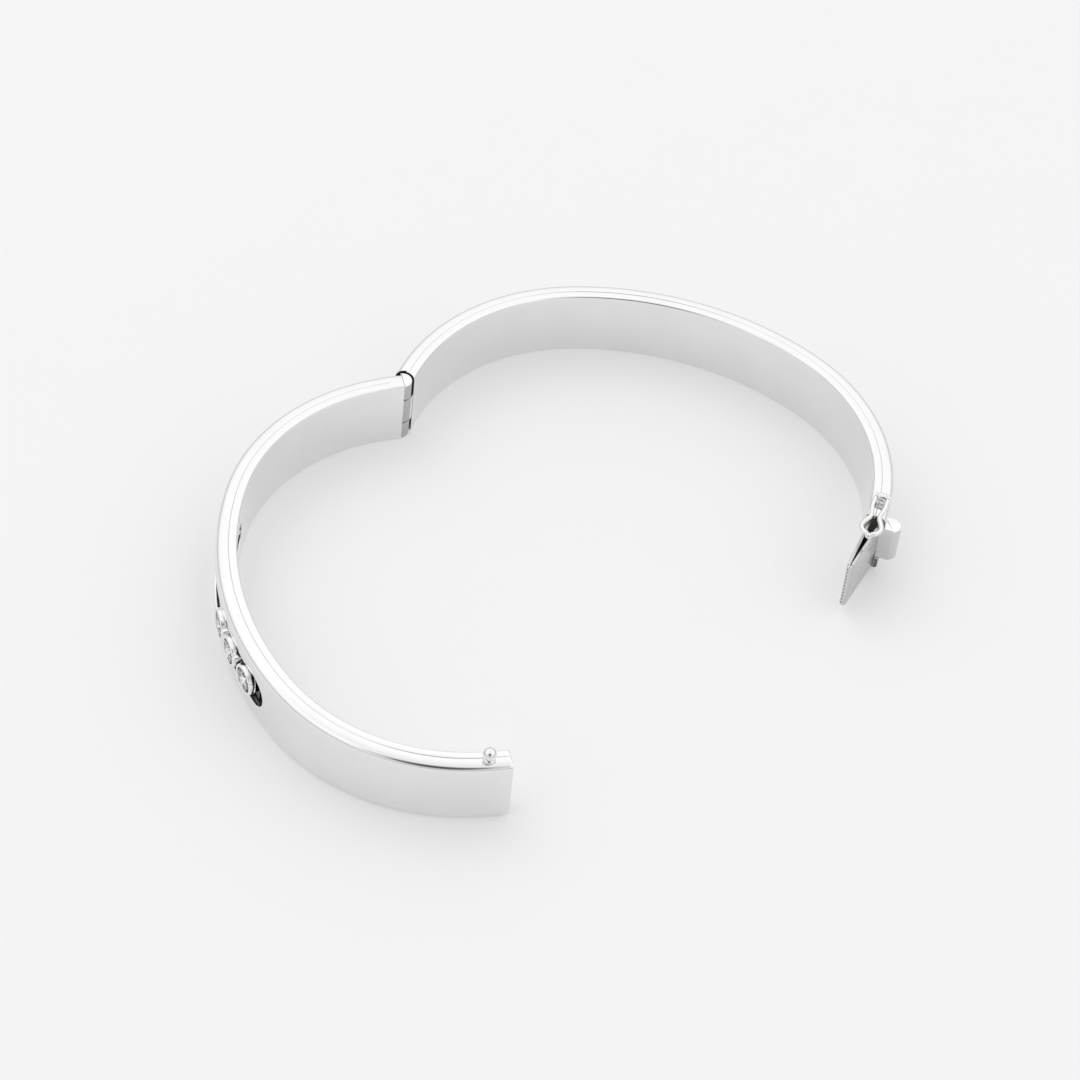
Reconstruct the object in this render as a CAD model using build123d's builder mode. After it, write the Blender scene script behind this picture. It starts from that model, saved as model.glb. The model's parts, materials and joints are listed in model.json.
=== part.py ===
from build123d import *
import os
from math import atan2, cos, degrees, radians, sin, sqrt

os.makedirs("parts", exist_ok=True)

# ---------------------------------------------------------------- driving dimensions, mm and degrees
# Oval bangle lying on its lower side face: z = 0 is the table, x is the long way of the closed oval.
# The back half is fixed with y > 0.  The front half is drawn closed, with y < 0, in its own frame,
# and that frame is swung open about the hinge.
HALF_LENGTH = 29.0          # centreline of the band, hinge end to clasp end, halved
HALF_WIDTH = 25.5           # centreline of the band, front to back, halved
FRONT_RADIUS = 37.0         # flat arcs in the middle of each half
FRONT_HALF_ANGLE = 24.0
END_RADIUS = 29.0           # arcs at the hinge and at the clasp
THICKNESS = 2.5
BAND_WIDTH = 8.8
SEAM = -0.25                # radial place of the solder seam between liner and shell
SHOULDER_DROP = 0.15        # the side face falls away this much from the seam to the outer face
SHOULDER_RADIUS = 0.75
INNER_EDGE_RADIUS = 0.25
CROWN = 0.05                # bulge of the outer face
OUTER_WALL = 0.60
INNER_WALL = 0.50
SIDE_WALL = 0.70

HINGE_X = -28.96
OPEN_ANGLE = 58.8           # the front half is this far open at rest
OVAL_CENTRE = (5.16, 13.94)   # the back half's oval, so that the open bangle's box is centred
KNUCKLE_RADIUS = 1.22
SEAT_RADIUS = 1.55
KNUCKLE_HEIGHT = 2.50       # each of the front half's two knuckles
KNUCKLE_GAP = 0.05
PIN_RADIUS = 0.50
PIN_CLEARANCE = 0.03
PIN_SHORT = 0.05            # the hinge pin stops this far inside each side face
PIN_CHAMFER = 0.08
HINGE_BLOCK_END = 1.6       # the solid end of each half reaches this far from the axis
HINGE_PLUG_END = 4.2

END_GAP = 0.05              # between the two halves at the clasp when closed

SLOT_HALF_ANGLE = 20.5      # the window that the stones run in
SLOT_HEIGHT = 4.10
INNER_WINDOW_HEIGHT = 3.40
BEZEL_RADIUS = 1.95
BEZEL_PROUD = 0.45
GUIDE_LENGTH = 3.70         # the plate behind the wall that keeps each bezel in
GUIDE_HEIGHT = 5.40
STONE_RADIUS = 1.60
STONE_ANGLES = (2.2, 8.3, 14.9)

LEAF = 0.35                 # spring strip of the snap tongue
TONGUE_HEIGHT = 6.70
NECK_HEIGHT = 3.60
TONGUE_END = -7.5
FOLD_X = 27.97              # the outer leaf bends about the middle of the fold
FOLD_RADIUS = 0.37
LIP_X = 29.30               # inner edge of the mouth's lip
MOUTH_X = 28.05             # inner edge of the mouth
PLATE = 0.37
PLATE_DEEP = 0.55           # the back half's end plate
SHOULDER_Y = -0.50
SHOULDER_X = 29.60 - LEAF / 2
NECK_END = 2.30
RELIEF_LINE = ((28.05, 1.0), (28.05, 0.0), (27.75, -4.0), (27.60, -5.6))
FIT = 0.01                  # gap round a plate that is soldered in
PLAY = 0.15                 # gap round the neck and the button

BUTTON_HEIGHT = 4.90
BUTTON_REACH = 31.95
BUTTON_Y = (0.15, 2.40)
BUTTON_BELLY = 0.75         # depth of the curve on the button's face
BUTTON_CORNER = 0.35
BUTTON_TRAVEL_X = 28.98     # the pressed button comes in as far as this
NECK_TRAVEL_X = 28.62
NOTCH_Y = 2.66

STUD_Y = -2.5
STUD_BALL_RADIUS = 0.75
STUD_BALL_Z = 0.90          # above the side face
STUD_SHANK = (0.45, 0.45)   # radius, depth
LOOP_Y = 2.5
LOOP_RISE = 0.65            # wire centre above the side face
WIRE_RADIUS = 0.33
EYE_RADIUS = 1.16
WAIST_RADIUS = 0.40
TAB_RADIUS = 0.42
CHEEK_HALF = 0.26           # half thickness of the two eyes round the loop's pin
LUG_RADIUS = 0.55
LUG_HALF_LENGTH = 0.75
LOOP_PIN_RADIUS = 0.25
LUG_FOOT_DEPTH = 0.25
LUG_FOOT_HALF = 0.45
LOOP_X = HALF_LENGTH - 0.10
CHEEK_RADIUS = 0.48

# ---------------------------------------------------------------- worked out from them
HALF_T = THICKNESS / 2
MID = BAND_WIDTH / 2
CAVITY_IN = -HALF_T + INNER_WALL
CAVITY_OUT = HALF_T - OUTER_WALL
CAVITY_HALF = MID - SIDE_WALL
FRONT_CENTRE = FRONT_RADIUS - HALF_WIDTH    # how far the flat arc's centre is past the middle

# The corner arc touches the flat arc and the end arc, so its radius and centre follow from theirs.
end_centre = HALF_LENGTH - END_RADIUS
flat_dir = (sin(radians(FRONT_HALF_ANGLE)), cos(radians(FRONT_HALF_ANGLE)))
reach = (FRONT_RADIUS * flat_dir[0] - end_centre, FRONT_RADIUS * flat_dir[1] - FRONT_CENTRE)
CORNER_RADIUS = (reach[0] ** 2 + reach[1] ** 2 - END_RADIUS**2) / (
    2 * (reach[0] * flat_dir[0] + reach[1] * flat_dir[1] - END_RADIUS)
)
CORNER_X = (FRONT_RADIUS - CORNER_RADIUS) * flat_dir[0]
CORNER_Y = (FRONT_RADIUS - CORNER_RADIUS) * flat_dir[1] - FRONT_CENTRE
END_HALF_ANGLE = degrees(atan2(CORNER_Y, CORNER_X - end_centre))

STUD_X = sqrt(END_RADIUS**2 - STUD_Y**2) + end_centre
LOOP_Z = BAND_WIDTH + LOOP_RISE
LUG_SEAT = (
    (LOOP_X - LUG_HALF_LENGTH, LOOP_X + LUG_HALF_LENGTH),
    (LOOP_Y - LUG_FOOT_HALF, LOOP_Y + LUG_FOOT_HALF),
    (BAND_WIDTH - LUG_FOOT_DEPTH, 12),
)

open_cos = cos(radians(-OPEN_ANGLE))
open_sin = sin(radians(-OPEN_ANGLE))
back = Plane(origin=(*OVAL_CENTRE, 0))
front = Plane(
    origin=(
        OVAL_CENTRE[0] + HINGE_X - HINGE_X * open_cos,
        OVAL_CENTRE[1] - HINGE_X * open_sin,
        0,
    ),
    x_dir=(open_cos, open_sin, 0),
    z_dir=(0, 0, 1),
)
stud_place = (front.location * Location((STUD_X, STUD_Y, 0))).position


def placed(frame, origin, x_dir, z_dir):
    """A plane given in one half's own frame."""
    return Plane(frame.location * Plane(origin=origin, x_dir=x_dir, z_dir=z_dir).location)


def level(frame, height):
    """The half's own plan at a height above the table."""
    return frame.offset(height)


def radial(angle, distance):
    """A plane of the front half that faces outwards, at an angle along its flat arc."""
    out = (sin(radians(angle)), -cos(radians(angle)), 0)
    along = (cos(radians(angle)), sin(radians(angle)), 0)
    origin = (distance * out[0], FRONT_CENTRE + distance * out[1], MID)
    return placed(front, origin, along, out)


def half_route(side):
    """Centreline of one half from clasp to hinge as five tangent arcs; side is 1 back, -1 front."""
    corner_sweep = 90 - FRONT_HALF_ANGLE - END_HALF_ANGLE
    CenterArc((end_centre, 0), END_RADIUS, 0, side * END_HALF_ANGLE)
    CenterArc((CORNER_X, side * CORNER_Y), CORNER_RADIUS, side * END_HALF_ANGLE, side * corner_sweep)
    CenterArc(
        (0, -side * FRONT_CENTRE),
        FRONT_RADIUS,
        side * (90 - FRONT_HALF_ANGLE),
        side * 2 * FRONT_HALF_ANGLE,
    )
    CenterArc(
        (-CORNER_X, side * CORNER_Y),
        CORNER_RADIUS,
        side * (90 + FRONT_HALF_ANGLE),
        side * corner_sweep,
    )
    CenterArc((-end_centre, 0), END_RADIUS, side * (180 - END_HALF_ANGLE), side * END_HALF_ANGLE)


def band_outline():
    """Section of the whole band: local x is outwards, local y is across the band."""
    with BuildLine() as outline:
        crown_x = HALF_T - CROWN
        low = MID - SHOULDER_DROP
        Polyline(
            (crown_x, -low), (SEAM, -MID), (-HALF_T, -MID), (-HALF_T, MID), (SEAM, MID), (crown_x, low)
        )
        ThreePointArc((crown_x, low), (HALF_T, 0), (crown_x, -low))
    make_face(outline.edges())


def round_outline(section):
    """Round the shoulders and break the inner edges of a band section."""
    corners = section.vertices().group_by(Axis.X)
    fillet(corners[-1], SHOULDER_RADIUS)
    fillet(section.vertices().group_by(Axis.X)[0], INNER_EDGE_RADIUS)


def start_plane(frame, side):
    """Section plane at the clasp end, looking along the half's route."""
    return placed(frame, (HALF_LENGTH, 0, MID), (1, 0, 0), (0, side, 0))


def shell_section(section):
    """The outer U: outer wall and the outer part of both side walls."""
    round_outline(section)
    with Locations((SEAM - THICKNESS, 0)):
        Rectangle(2 * THICKNESS, 2 * BAND_WIDTH, mode=Mode.SUBTRACT)
    with Locations((CAVITY_OUT - THICKNESS, 0)):
        Rectangle(2 * THICKNESS, 2 * CAVITY_HALF, mode=Mode.SUBTRACT)


def liner_section(section):
    """The inner U: inner wall and the inner part of both side walls."""
    round_outline(section)
    with Locations((SEAM + THICKNESS, 0)):
        Rectangle(2 * THICKNESS, 2 * BAND_WIDTH, mode=Mode.SUBTRACT)
    with Locations((CAVITY_IN + THICKNESS, 0)):
        Rectangle(2 * THICKNESS, 2 * CAVITY_HALF, mode=Mode.SUBTRACT)


def cut_box(frame, x_span, y_span, z_span):
    """Cut a box given by its spans in one half's own frame."""
    with BuildSketch(level(frame, z_span[0])) as plan:
        with Locations(((x_span[0] + x_span[1]) / 2, (y_span[0] + y_span[1]) / 2)):
            Rectangle(x_span[1] - x_span[0], y_span[1] - y_span[0])
    extrude(plan.sketch, amount=z_span[1] - z_span[0], mode=Mode.SUBTRACT)


def cut_round(frame, x, y, radius, z_low, z_high):
    """Cut an upright cylinder in one half's own frame."""
    with BuildSketch(level(frame, z_low)) as plan:
        with Locations((x, y)):
            Circle(radius)
    extrude(plan.sketch, amount=z_high - z_low, mode=Mode.SUBTRACT)


def cut_window(height):
    """Cut a round-ended window along the flat arc, square to it everywhere."""
    end_angle = SLOT_HALF_ANGLE - degrees(height / 2 / (FRONT_RADIUS + HALF_T))
    reach_out = FRONT_RADIUS + 2 * THICKNESS
    for angle in (-end_angle, end_angle):
        with BuildSketch(radial(angle, FRONT_RADIUS - 2 * THICKNESS)) as end:
            Circle(height / 2)
        extrude(end.sketch, amount=4 * THICKNESS, mode=Mode.SUBTRACT)
    wedge = [
        (0, FRONT_CENTRE),
        (reach_out * sin(radians(end_angle)), FRONT_CENTRE - reach_out * cos(radians(end_angle))),
        (-reach_out * sin(radians(end_angle)), FRONT_CENTRE - reach_out * cos(radians(end_angle))),
    ]
    with BuildSketch(level(front, MID - height / 2)) as plan:
        with BuildLine():
            Polyline(wedge[1], wedge[0], wedge[2])
            ThreePointArc(wedge[2], (0, FRONT_CENTRE - reach_out), wedge[1])
        make_face()
    extrude(plan.sketch, amount=height, mode=Mode.SUBTRACT)


def cut_for_clasp(frame, x_span, y_span, height, gap):
    """Cut a box that is centred on the band's width."""
    cut_box(frame, x_span, y_span, (MID - height / 2 - gap, MID + height / 2 + gap))


# ---------------------------------------------------------------- back half: shell and liner
with BuildPart() as back_outer_shell:
    with BuildLine(level(back, MID)) as route:
        half_route(1)
    with BuildSketch(start_plane(back, 1)) as section:
        band_outline()
        shell_section(section)
    sweep(path=route.wires()[0])
    cut_box(back, (-40, -20), (-1, HINGE_BLOCK_END), (-1, 12))
    # notch in the outer wall that the push button sits in
    cut_for_clasp(back, (HALF_LENGTH + 0.3, 40), (-1, NOTCH_Y), BUTTON_HEIGHT, PLAY)
    cut_box(back, *LUG_SEAT)
back_outer_shell.part.label = "back_outer_shell"
export_step(back_outer_shell.part, "parts/back_outer_shell.step")

with BuildPart() as back_inner_liner:
    with BuildLine(level(back, MID)) as route:
        half_route(1)
    with BuildSketch(start_plane(back, 1)) as section:
        band_outline()
        liner_section(section)
    sweep(path=route.wires()[0])
    cut_box(back, (-40, -20), (-1, HINGE_BLOCK_END), (-1, 12))
    cut_box(back, *LUG_SEAT)
back_inner_liner.part.label = "back_inner_liner"
export_step(back_inner_liner.part, "parts/back_inner_liner.step")

# ---------------------------------------------------------------- front half: shell and liner
with BuildPart() as front_outer_shell:
    with BuildLine(level(front, MID)) as route:
        half_route(-1)
    with BuildSketch(start_plane(front, -1)) as section:
        band_outline()
        shell_section(section)
    sweep(path=route.wires()[0])
    cut_box(front, (-40, -20), (-HINGE_BLOCK_END, 1), (-1, 12))
    cut_box(front, (20, 40), (-END_GAP, 1), (-1, 12))
    cut_window(SLOT_HEIGHT)
    cut_round(front, STUD_X, STUD_Y, STUD_SHANK[0], BAND_WIDTH - STUD_SHANK[1], 12)
front_outer_shell.part.label = "front_outer_shell"
export_step(front_outer_shell.part, "parts/front_outer_shell.step")

with BuildPart() as front_inner_liner:
    with BuildLine(level(front, MID)) as route:
        half_route(-1)
    with BuildSketch(start_plane(front, -1)) as section:
        band_outline()
        liner_section(section)
    sweep(path=route.wires()[0])
    cut_box(front, (-40, -20), (-HINGE_BLOCK_END, 1), (-1, 12))
    cut_box(front, (20, 40), (-END_GAP, 1), (-1, 12))
    cut_window(INNER_WINDOW_HEIGHT)
    cut_round(front, STUD_X, STUD_Y, STUD_SHANK[0], BAND_WIDTH - STUD_SHANK[1], 12)
    # relief along the inner leaf, which lies closer to the wrist than the hollow does
    with BuildSketch(level(front, MID - TONGUE_HEIGHT / 2 - 0.1)) as relief:
        with BuildLine():
            Polyline(*RELIEF_LINE, (32, RELIEF_LINE[-1][1]), (32, RELIEF_LINE[0][1]), close=True)
        make_face()
    extrude(relief.sketch, amount=TONGUE_HEIGHT + 0.2, mode=Mode.SUBTRACT)
front_inner_liner.part.label = "front_inner_liner"
export_step(front_inner_liner.part, "parts/front_inner_liner.step")


# ---------------------------------------------------------------- hinge
def hinge_end(frame, side, seat_levels, knuckle_levels):
    """Solid end of one half: full section, a plug into the hollow, seats cut out, knuckles added."""
    with BuildLine(level(frame, MID)) as full_route:
        CenterArc((-end_centre, 0), END_RADIUS, side * 180, -side * 6)
    end_plane = placed(frame, (-HALF_LENGTH, 0, MID), (-1, 0, 0), (0, side, 0))
    with BuildSketch(end_plane) as section:
        band_outline()
        round_outline(section)
    sweep(section.sketch, path=full_route.wires()[0])
    y_span = sorted((side * HINGE_BLOCK_END, side * 20))
    cut_box(frame, (-40, -20), y_span, (-1, 12))
    plug_sweep = degrees(HINGE_PLUG_END / END_RADIUS)
    with BuildLine(level(frame, MID)) as plug_route:
        CenterArc((-end_centre, 0), END_RADIUS, side * (180 - 3), -side * (plug_sweep - 3))
    turn = radians(side * (180 - 3))
    plug_plane = placed(
        frame,
        (END_RADIUS * cos(turn) - end_centre, END_RADIUS * sin(turn), MID),
        (cos(turn), sin(turn), 0),
        (side * sin(turn), -side * cos(turn), 0),
    )
    with BuildSketch(plug_plane) as plug:
        with Locations(((CAVITY_IN + CAVITY_OUT) / 2, 0)):
            Rectangle(CAVITY_OUT - CAVITY_IN - 0.02, 2 * CAVITY_HALF - 0.02)
    sweep(plug.sketch, path=plug_route.wires()[0])
    for low, high in seat_levels:
        cut_round(frame, HINGE_X, 0, SEAT_RADIUS, low, high)
    for low, high in knuckle_levels:
        with BuildSketch(level(frame, low)) as knuckle:
            with Locations((HINGE_X, 0)):
                Circle(KNUCKLE_RADIUS)
            with Locations((HINGE_X, side * SEAT_RADIUS / 2)):
                Rectangle(2 * KNUCKLE_RADIUS, SEAT_RADIUS)
        extrude(knuckle.sketch, amount=high - low)


lower_knuckle = (0.0, KNUCKLE_HEIGHT)
upper_knuckle = (BAND_WIDTH - KNUCKLE_HEIGHT, BAND_WIDTH)
middle_knuckle = (KNUCKLE_HEIGHT + KNUCKLE_GAP, BAND_WIDTH - KNUCKLE_HEIGHT - KNUCKLE_GAP)

with BuildPart() as back_hinge_block:
    hinge_end(back, 1, [(-1, middle_knuckle[0]), (middle_knuckle[1], 12)], [middle_knuckle])
    cut_round(back, HINGE_X, 0, PIN_RADIUS + PIN_CLEARANCE, -1, 12)
back_hinge_block.part.label = "back_hinge_block"
export_step(back_hinge_block.part, "parts/back_hinge_block.step")

with BuildPart() as front_hinge_block:
    seat = (lower_knuckle[1], upper_knuckle[0])
    hinge_end(front, -1, [(-1, 12)], [lower_knuckle, upper_knuckle])
    cut_round(front, HINGE_X, 0, SEAT_RADIUS, *seat)
    cut_round(front, HINGE_X, 0, PIN_RADIUS + PIN_CLEARANCE, -1, 12)
front_hinge_block.part.label = "front_hinge_block"
export_step(front_hinge_block.part, "parts/front_hinge_block.step")

with BuildPart() as hinge_pin:
    with BuildSketch(level(back, PIN_SHORT)):
        with Locations((HINGE_X, 0)):
            Circle(PIN_RADIUS)
    extrude(amount=BAND_WIDTH - 2 * PIN_SHORT)
    chamfer(hinge_pin.edges().filter_by(GeomType.CIRCLE), PIN_CHAMFER)
hinge_pin.part.label = "hinge_pin"
export_step(hinge_pin.part, "parts/hinge_pin.step")


# ---------------------------------------------------------------- clasp
inner_tip = (FOLD_X - 0.195, TONGUE_END)
outer_tip = (FOLD_X + 0.20, TONGUE_END + 0.08)
button_back = SHOULDER_X + LEAF / 2


def plate_outline(y_near, y_far):
    """Plan of a plate that closes the hollow, between two distances from the clasp plane."""
    ring_in = END_RADIUS + CAVITY_IN + FIT
    ring_out = END_RADIUS + CAVITY_OUT - FIT
    with BuildLine() as outline:
        Polyline(
            (sqrt(ring_out**2 - y_far**2), y_near),
            (sqrt(ring_in**2 - y_near**2), y_near),
            (sqrt(ring_in**2 - y_far**2), y_far),
            (sqrt(ring_out**2 - y_far**2), y_far),
            close=True,
        )
    make_face(outline.edges())


with BuildPart() as back_end_plate:
    with BuildSketch(level(back, MID - CAVITY_HALF + FIT)):
        plate_outline(0, PLATE_DEEP)
    extrude(amount=2 * (CAVITY_HALF - FIT))
    # gaps that the button's neck and the button travel in
    cut_for_clasp(back, (NECK_TRAVEL_X, 32), (-1, 1), NECK_HEIGHT, PLAY)
    cut_for_clasp(back, (BUTTON_TRAVEL_X, 32), (-1, 1), BUTTON_HEIGHT, PLAY)
back_end_plate.part.label = "back_end_plate"
export_step(back_end_plate.part, "parts/back_end_plate.step")

with BuildPart() as snap_inner_leaf:
    with BuildSketch(level(back, MID - TONGUE_HEIGHT / 2)):
        root_x = MOUTH_X + 0.10
        with BuildLine():
            Polyline(
                (inner_tip[0] + LEAF / 2, TONGUE_END),
                (root_x + LEAF, 0.0),
                (root_x, 0.0),
                (inner_tip[0] - LEAF / 2, TONGUE_END),
            )
            ThreePointArc(
                (inner_tip[0] - LEAF / 2, TONGUE_END),
                (FOLD_X, TONGUE_END - FOLD_RADIUS),
                (FOLD_X + FOLD_RADIUS, TONGUE_END),
            )
            Line((FOLD_X + FOLD_RADIUS, TONGUE_END), (inner_tip[0] + LEAF / 2, TONGUE_END))
        make_face()
    extrude(amount=TONGUE_HEIGHT)
    corners = snap_inner_leaf.edges().filter_by(GeomType.CIRCLE)
    fillet(corners, 0.2)
snap_inner_leaf.part.label = "snap_inner_leaf"
export_step(snap_inner_leaf.part, "parts/snap_inner_leaf.step")

with BuildPart() as snap_outer_leaf:
    with BuildSketch(level(back, MID - TONGUE_HEIGHT / 2)):
        with BuildLine():
            Polyline(
                (outer_tip[0] - LEAF / 2, outer_tip[1]),
                (outer_tip[0] + LEAF / 2, outer_tip[1]),
                (SHOULDER_X + LEAF / 2, SHOULDER_Y),
                (SHOULDER_X - LEAF / 2, SHOULDER_Y),
                close=True,
            )
        make_face()
    extrude(amount=TONGUE_HEIGHT)
    with BuildSketch(level(back, MID - NECK_HEIGHT / 2)):
        with Locations((SHOULDER_X, (SHOULDER_Y + NECK_END) / 2)):
            Rectangle(LEAF, NECK_END - SHOULDER_Y)
    extrude(amount=NECK_HEIGHT)
snap_outer_leaf.part.label = "snap_outer_leaf"
export_step(snap_outer_leaf.part, "parts/snap_outer_leaf.step")

with BuildPart() as push_button:
    belly_x = BUTTON_REACH - BUTTON_BELLY
    with BuildSketch(level(back, MID - BUTTON_HEIGHT / 2)) as plan:
        with BuildLine():
            Polyline(
                (belly_x, BUTTON_Y[0]),
                (button_back, BUTTON_Y[0]),
                (button_back, BUTTON_Y[1]),
                (belly_x, BUTTON_Y[1]),
            )
            ThreePointArc(
                (belly_x, BUTTON_Y[1]),
                (BUTTON_REACH, sum(BUTTON_Y) / 2),
                (belly_x, BUTTON_Y[0]),
            )
        make_face()
        fillet(plan.vertices().filter_by(lambda v: v.X > belly_x - FIT), BUTTON_CORNER)
    extrude(amount=BUTTON_HEIGHT)
push_button.part.label = "push_button"
export_step(push_button.part, "parts/push_button.step")

with BuildPart() as front_catch_plates:
    with BuildSketch(level(front, MID - CAVITY_HALF + FIT)):
        plate_outline(-END_GAP, -END_GAP - PLATE)
    extrude(amount=2 * (CAVITY_HALF - FIT))
    cut_for_clasp(front, (20, LIP_X), (-2, 1), TONGUE_HEIGHT, 0.1)
    cut_for_clasp(front, (LIP_X - 1, 40), (-2, 1), NECK_HEIGHT, PLAY)
front_catch_plates.part.label = "front_catch_plates"
export_step(front_catch_plates.part, "parts/front_catch_plates.step")

# ---------------------------------------------------------------- safety catch
with BuildPart() as ball_stud:
    shank_radius = STUD_SHANK[0] - 2 * FIT
    shank_end = 2 * FIT - STUD_SHANK[1]
    with BuildSketch(placed(front, (STUD_X, STUD_Y, BAND_WIDTH), (1, 0, 0), (0, -1, 0))):
        with BuildLine():
            Polyline(
                (0, STUD_BALL_Z),
                (0, shank_end),
                (shank_radius, shank_end),
                (shank_radius, 2 * FIT),
                (0.70, 2 * FIT),
                (0.62, 0.22),
                (0.40, 0.40),
                (0.40, STUD_BALL_Z),
                close=True,
            )
        make_face()
    revolve(axis=Axis(stud_place, (0, 0, 1)))
    with Locations(stud_place + Vector(0, 0, BAND_WIDTH + STUD_BALL_Z)):
        Sphere(STUD_BALL_RADIUS)
ball_stud.part.label = "ball_stud"
export_step(ball_stud.part, "parts/ball_stud.step")

with BuildPart() as safety_lug:
    with BuildSketch(placed(back, (LOOP_X - LUG_HALF_LENGTH, LOOP_Y, LOOP_Z), (0, 1, 0), (1, 0, 0))):
        Circle(LUG_RADIUS)
        foot_height = LOOP_RISE + LUG_FOOT_DEPTH - FIT
        with Locations((0, -foot_height / 2)):
            Rectangle(2 * (LUG_FOOT_HALF - FIT), foot_height)
        Circle(LOOP_PIN_RADIUS + PIN_CLEARANCE, mode=Mode.SUBTRACT)
    extrude(amount=2 * LUG_HALF_LENGTH)
safety_lug.part.label = "safety_lug"
export_step(safety_lug.part, "parts/safety_lug.step")

with BuildPart() as safety_loop:
    arm = LUG_HALF_LENGTH + WIRE_RADIUS + 0.05
    bend_y = LOOP_Y - 1.9
    with BuildLine(placed(back, (LOOP_X, 0, LOOP_Z), (1, 0, 0), (0, 0, 1))) as arms:
        Line((arm, LOOP_Y - 0.3), (arm, bend_y))
        ThreePointArc((arm, bend_y), (0, bend_y - arm), (-arm, bend_y))
        Line((-arm, bend_y), (-arm, LOOP_Y - 0.3))
    with BuildSketch(placed(back, (LOOP_X + arm, LOOP_Y - 0.3, LOOP_Z), (1, 0, 0), (0, -1, 0))):
        Circle(WIRE_RADIUS)
    sweep(path=arms.wires()[0])
    for side in (-1, 1):
        cheek_x = LOOP_X + side * arm - CHEEK_HALF
        with BuildSketch(placed(back, (cheek_x, LOOP_Y, LOOP_Z), (0, 1, 0), (1, 0, 0))):
            Circle(CHEEK_RADIUS)
        extrude(amount=2 * CHEEK_HALF)
    eye_place = (back.location * Location((LOOP_X, STUD_Y, LOOP_Z))).position
    with Locations(eye_place):
        Torus(EYE_RADIUS, WIRE_RADIUS)
    with Locations(eye_place - Vector(0, EYE_RADIUS + 0.35, 0)):
        Sphere(TAB_RADIUS)
    waist_start = bend_y - arm + 0.05
    with BuildSketch(placed(back, (LOOP_X, waist_start, LOOP_Z), (1, 0, 0), (0, -1, 0))):
        Circle(WAIST_RADIUS)
    extrude(amount=waist_start - STUD_Y - EYE_RADIUS + 0.05)
    with BuildSketch(placed(back, (LOOP_X - 3, LOOP_Y, LOOP_Z), (0, 1, 0), (1, 0, 0))):
        Circle(LOOP_PIN_RADIUS + 0.01)
    extrude(amount=6, mode=Mode.SUBTRACT)
safety_loop.part.label = "safety_loop"
export_step(safety_loop.part, "parts/safety_loop.step")

with BuildPart() as safety_pin:
    pin_half = arm + WIRE_RADIUS + 0.08
    with BuildSketch(placed(back, (LOOP_X - pin_half, LOOP_Y, LOOP_Z), (0, 1, 0), (1, 0, 0))):
        Circle(LOOP_PIN_RADIUS)
    extrude(amount=2 * pin_half)
    chamfer(safety_pin.edges().filter_by(GeomType.CIRCLE), 0.06)
safety_pin.part.label = "safety_pin"
export_step(safety_pin.part, "parts/safety_pin.step")

# ---------------------------------------------------------------- the three sliding stones
GUIDE_LOW = 0.05            # radial levels, counted from the band's centreline
GUIDE_HIGH = 0.50
RIM = HALF_T + BEZEL_PROUD
GIRDLE = RIM - 0.45
TABLE_RADIUS = 0.55 * STONE_RADIUS
CROWN_RISE = 0.50
PAVILION = 1.33
GIRDLE_HALF = 0.03

for number, angle in enumerate(STONE_ANGLES, start=1):
    with BuildPart() as bezel:
        with BuildSketch(radial(angle, FRONT_RADIUS + GUIDE_LOW)):
            RectangleRounded(GUIDE_LENGTH, GUIDE_HEIGHT, 0.6)
        extrude(amount=GUIDE_HIGH - GUIDE_LOW)
        out = (sin(radians(angle)), -cos(radians(angle)), 0)
        along = (cos(radians(angle)), sin(radians(angle)), 0)
        middle = (FRONT_RADIUS * out[0], FRONT_CENTRE + FRONT_RADIUS * out[1], MID)
        profile_plane = placed(front, middle, along, (0, 0, -1))
        stone_axis = Axis(
            (front.location * Location(middle)).position,
            (radial(angle, 0)).z_dir,
        )
        with BuildSketch(profile_plane):
            with BuildLine():
                Polyline(
                    (0, GUIDE_LOW),
                    (BEZEL_RADIUS, GUIDE_LOW),
                    (BEZEL_RADIUS, RIM - 0.18),
                    (BEZEL_RADIUS - 0.16, RIM),
                    (0, RIM),
                    close=True,
                )
            make_face()
        revolve(axis=stone_axis)
        with BuildSketch(profile_plane):
            with BuildLine():
                Polyline(
                    (0, RIM + 1),
                    (STONE_RADIUS - 0.10, RIM + 1),
                    (STONE_RADIUS - 0.10, GIRDLE + 0.12),
                    (STONE_RADIUS + 0.03, GIRDLE + 0.06),
                    (STONE_RADIUS + 0.03, GIRDLE - 0.08),
                    (1.10, GIRDLE - 0.53),
                    (1.10, -1),
                    (0, -1),
                    close=True,
                )
            make_face()
        revolve(axis=stone_axis, mode=Mode.SUBTRACT)
    bezel.part.label = f"bezel_{number}"
    export_step(bezel.part, f"parts/bezel_{number}.step")

    with BuildPart() as diamond:
        with BuildSketch(profile_plane):
            with BuildLine():
                Polyline(
                    (0, GIRDLE + GIRDLE_HALF + CROWN_RISE),
                    (TABLE_RADIUS, GIRDLE + GIRDLE_HALF + CROWN_RISE),
                    (STONE_RADIUS, GIRDLE + GIRDLE_HALF),
                    (STONE_RADIUS, GIRDLE - GIRDLE_HALF),
                    (0, GIRDLE - GIRDLE_HALF - PAVILION),
                    close=True,
                )
            make_face()
        revolve(axis=stone_axis)
    diamond.part.label = f"diamond_{number}"
    export_step(diamond.part, f"parts/diamond_{number}.step")

# joint data for the record, in the row's frame
slide_centre = (front.location * Location((0, FRONT_CENTRE, 0))).position
print("hinge", HINGE_X, "open", OPEN_ANGLE, "slide centre", slide_centre, "stud", stud_place)
print("fold", FOLD_X, TONGUE_END, "loop axis", LOOP_X, LOOP_Y, LOOP_Z, "corner", CORNER_RADIUS)
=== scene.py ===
# %% [markdown]
# # A hinged bangle in polished white gold
# The bracelet lies open on a pale table: a plain back half, and a front half with three small stones
# that slide in a long slot. This lesson dresses the working model piece by piece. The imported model
# gives the places and the moving bodies, and every shape that shows is built again as a finer mesh.

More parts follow.
